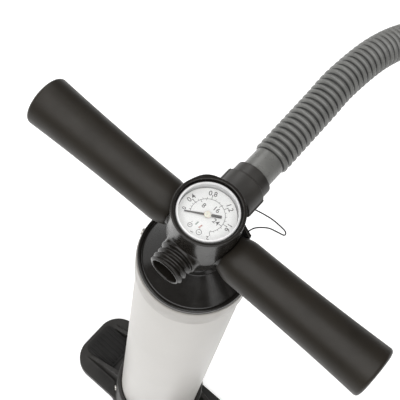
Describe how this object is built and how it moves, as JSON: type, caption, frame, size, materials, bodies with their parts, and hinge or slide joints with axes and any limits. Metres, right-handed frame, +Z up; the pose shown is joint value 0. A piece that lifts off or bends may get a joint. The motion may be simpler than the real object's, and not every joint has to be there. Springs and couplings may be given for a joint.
{
  "type": "hand air pump",
  "caption": "Stand-up double-action hand pump with a T handle, gauge in the hub, threaded port, corrugated hose and foot plates.",
  "frame": {"origin": "on the floor under the rod's axis, at the middle of the foot plates", "axes": "+Z up the rod, X along the handle, +Y towards the hose"},
  "size_m": [0.4922, 0.5487, 0.6135],
  "materials": {
    "base_black": "fine moulded texture",
    "rubber_black": "matt",
    "screw_steel": "plated",
    "barrel_white": "satin gloss",
    "collar_pale": "satin",
    "cap_black": "satin",
    "bush_nylon": "turned",
    "rod_aluminium": "anodised",
    "tube_clear": "smooth",
    "piston_plastic": "moulded",
    "hub_black": "satin moulded",
    "grip_black": "soft matt",
    "brass": "satin",
    "gauge_black": "smooth",
    "gauge_clear": "clear polycarbonate",
    "dial_white": "printed matt",
    "needle_dark": "matt",
    "boss_cream": "smooth",
    "valve_red": "silicone",
    "cord_black": "braided",
    "hose_grey": "satin, corrugated",
    "nozzle_black": "satin"
  },
  "bodies": {
    "barrel": {"base_plate": "base_black", "foot_pads": "rubber_black", "base_screws": "screw_steel", "base_gasket": "rubber_black", "barrel_tube": "barrel_white", "barrel_collar": "collar_pale", "top_cap": "cap_black", "cap_screws": "screw_steel", "cap_seal": "rubber_black", "rod_bush": "bush_nylon", "rod_seal": "rubber_black", "gland_ring": "cap_black", "hose_tube": "hose_grey", "nozzle_cuff": "hose_grey", "nozzle_body": "nozzle_black", "nozzle_spigot": "nozzle_black", "nozzle_seal": "valve_red"},
    "handle": {"outer_rod": "rod_aluminium", "air_tube": "tube_clear", "piston_upper": "piston_plastic", "piston_lower": "piston_plastic", "piston_seal": "rubber_black", "piston_screws": "screw_steel", "hub_body": "hub_black", "rod_screws": "screw_steel", "core_left": "rod_aluminium", "core_right": "rod_aluminium", "core_pins": "screw_steel", "grip_left": "grip_black", "grip_right": "grip_black", "gauge_stem": "brass", "gauge_case": "gauge_black", "gauge_gasket": "rubber_black", "gauge_lens": "gauge_clear", "gauge_dial": "dial_white", "bourdon_tube": "brass", "gauge_movement": "brass", "intake_seat": "hub_black", "tether": "cord_black", "hose_washer": "rubber_black", "hose_cuff": "hose_grey"},
    "sector": {"gauge_sector": "brass"},
    "needle": {"needle": "needle_dark", "needle_boss": "boss_cream"},
    "nut": {"hose_nut": "hub_black"},
    "plug": {"mode_plug": "hub_black", "plug_seal": "rubber_black"},
    "intake_disc": {"intake_valve": "valve_red"},
    "outlet_disc": {"outlet_valve": "valve_red"}
  },
  "joints": [
    {"name": "pump_stroke", "type": "slide", "parent": "barrel", "child": "handle", "axis": [0, 0, 1], "range_m": [0, 0.43]},
    {"name": "sector_swing", "type": "hinge", "parent": "handle", "child": "sector", "pos_m": [-0.01, 0, 0.573], "axis": [0, 0, 1], "range_deg": [0, 45], "stiffness_Nm_per_rad": 0.0004},
    {"name": "needle_swing", "type": "hinge", "parent": "handle", "child": "needle", "pos_m": [0, 0, 0.573], "axis": [0, 0, -1], "range_deg": [0, 252]},
    {"name": "nut_turn", "type": "hinge", "parent": "handle", "child": "nut", "pos_m": [0, 0.04, 0.573], "axis": [0, 1, 0], "continuous": true},
    {"name": "plug_pull", "type": "slide", "parent": "handle", "child": "plug", "axis": [0, 1, 0], "range_m": [0, 0.01]},
    {"name": "intake_lift", "type": "slide", "parent": "handle", "child": "intake_disc", "axis": [0, 1, 0], "range_m": [0, 0.004], "stiffness_N_per_m": 30},
    {"name": "outlet_lift", "type": "slide", "parent": "handle", "child": "outlet_disc", "axis": [0, 1, 0], "range_m": [0, 0.004], "stiffness_N_per_m": 30}
  ],
  "couplings": [
    {"joint": "needle_swing", "follows": "sector_swing", "ratio": 5.6}
  ]
}
